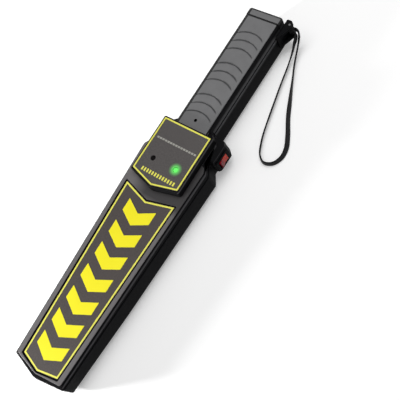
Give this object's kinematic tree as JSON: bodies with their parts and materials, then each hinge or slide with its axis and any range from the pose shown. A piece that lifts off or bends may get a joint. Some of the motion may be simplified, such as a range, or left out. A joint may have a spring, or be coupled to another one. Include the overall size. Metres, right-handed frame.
{
  "type": "metal detector wand",
  "caption": "Hand-held security metal detector wand: tapered search paddle, raised control block with lamps, side rocker switch, ribbed grip, wrist strap.",
  "frame": {"origin": "bottom centre of the wand's box, with the wand lying on its back and the strap left out", "axes": "+Y from the paddle's tip toward the butt of the handle, +Z out of the control face, +X to the switch side"},
  "size_m": [0.1227, 0.4138, 0.0425],
  "materials": {
    "black_abs": "satin moulded ABS",
    "grey_abs": "satin moulded ABS, fine grain",
    "label_film": "printed polyester film",
    "battery_can": "printed steel can",
    "steel": "plated",
    "spring_brass": "bare strip",
    "board_laminate": "solder mask on glass laminate",
    "chip_epoxy": "moulded epoxy",
    "capacitor_sleeve": "shrink sleeve",
    "trimmer_plastic": "moulded",
    "led_green_lens": "clear tinted epoxy",
    "led_red_lens": "clear tinted epoxy",
    "red_key": "polished",
    "speaker_paper": "pressed paper cone",
    "ferrite": "sintered",
    "bobbin_plastic": "moulded nylon",
    "copper_wire": "enamelled copper",
    "strap_webbing": "woven nylon tape",
    "lead_insulation": "PVC insulation"
  },
  "bodies": {
    "housing": {"back_shell": "black_abs", "front_shell": "black_abs", "paddle_frame": "grey_abs", "paddle_label": "label_film", "control_label": "label_film", "grip_skin": "grey_abs", "battery_case": "battery_can", "battery_stud_small": "steel", "battery_stud_large": "steel", "contact_plate": "board_laminate", "contact_positive": "spring_brass", "contact_negative": "spring_brass", "main_board": "board_laminate", "processor_chip": "chip_epoxy", "amplifier_chip": "chip_epoxy", "capacitor_left": "capacitor_sleeve", "capacitor_right": "capacitor_sleeve", "trimmer_body": "trimmer_plastic", "led_green": "led_green_lens", "led_red": "led_red_lens", "switch_housing": "black_abs", "switch_pin": "steel", "speaker_frame": "steel", "speaker_cone": "speaker_paper", "speaker_magnet": "ferrite", "motor_body": "steel", "coil_former": "bobbin_plastic", "search_coil": "copper_wire", "strap_lug": "black_abs", "strap_pin": "steel", "strap_knot": "strap_webbing", "wrist_strap": "strap_webbing", "board_screw_1": "steel", "board_screw_2": "steel", "board_screw_3": "steel", "board_screw_4": "steel", "housing_screw_1": "steel", "housing_screw_2": "steel", "housing_screw_3": "steel", "housing_screw_4": "steel", "housing_screw_5": "steel", "housing_screw_6": "steel", "coil_lead_left": "lead_insulation", "speaker_lead_left": "lead_insulation", "motor_lead_left": "lead_insulation", "battery_lead_left": "lead_insulation", "switch_terminal_left": "spring_brass", "coil_lead_right": "lead_insulation", "speaker_lead_right": "lead_insulation", "motor_lead_right": "lead_insulation", "battery_lead_right": "lead_insulation", "switch_terminal_right": "spring_brass"},
    "switch_key": {"switch_rocker": "red_key"},
    "battery_door": {"battery_door": "grey_abs"},
    "trimmer_rotor": {"trimmer_rotor": "trimmer_plastic"},
    "motor_weight": {"motor_weight": "ferrite"}
  },
  "joints": [
    {"name": "switch_rock", "type": "hinge", "parent": "housing", "child": "switch_key", "pos_m": [0.03611, 0.05487, 0.02], "axis": [0, 0, 1], "range_deg": [-18, 0]},
    {"name": "door_slide", "type": "slide", "parent": "housing", "child": "battery_door", "axis": [0, 1, 0], "range_m": [0, 0.055]},
    {"name": "trimmer_turn", "type": "hinge", "parent": "housing", "child": "trimmer_rotor", "pos_m": [-0.00089, 0.07387, 0.025], "axis": [0, 0, 1], "range_deg": [-135, 135]},
    {"name": "motor_spin", "type": "hinge", "parent": "housing", "child": "motor_weight", "pos_m": [-0.00089, 0.11687, 0.013], "axis": [0, 1, 0], "continuous": true}
  ]
}
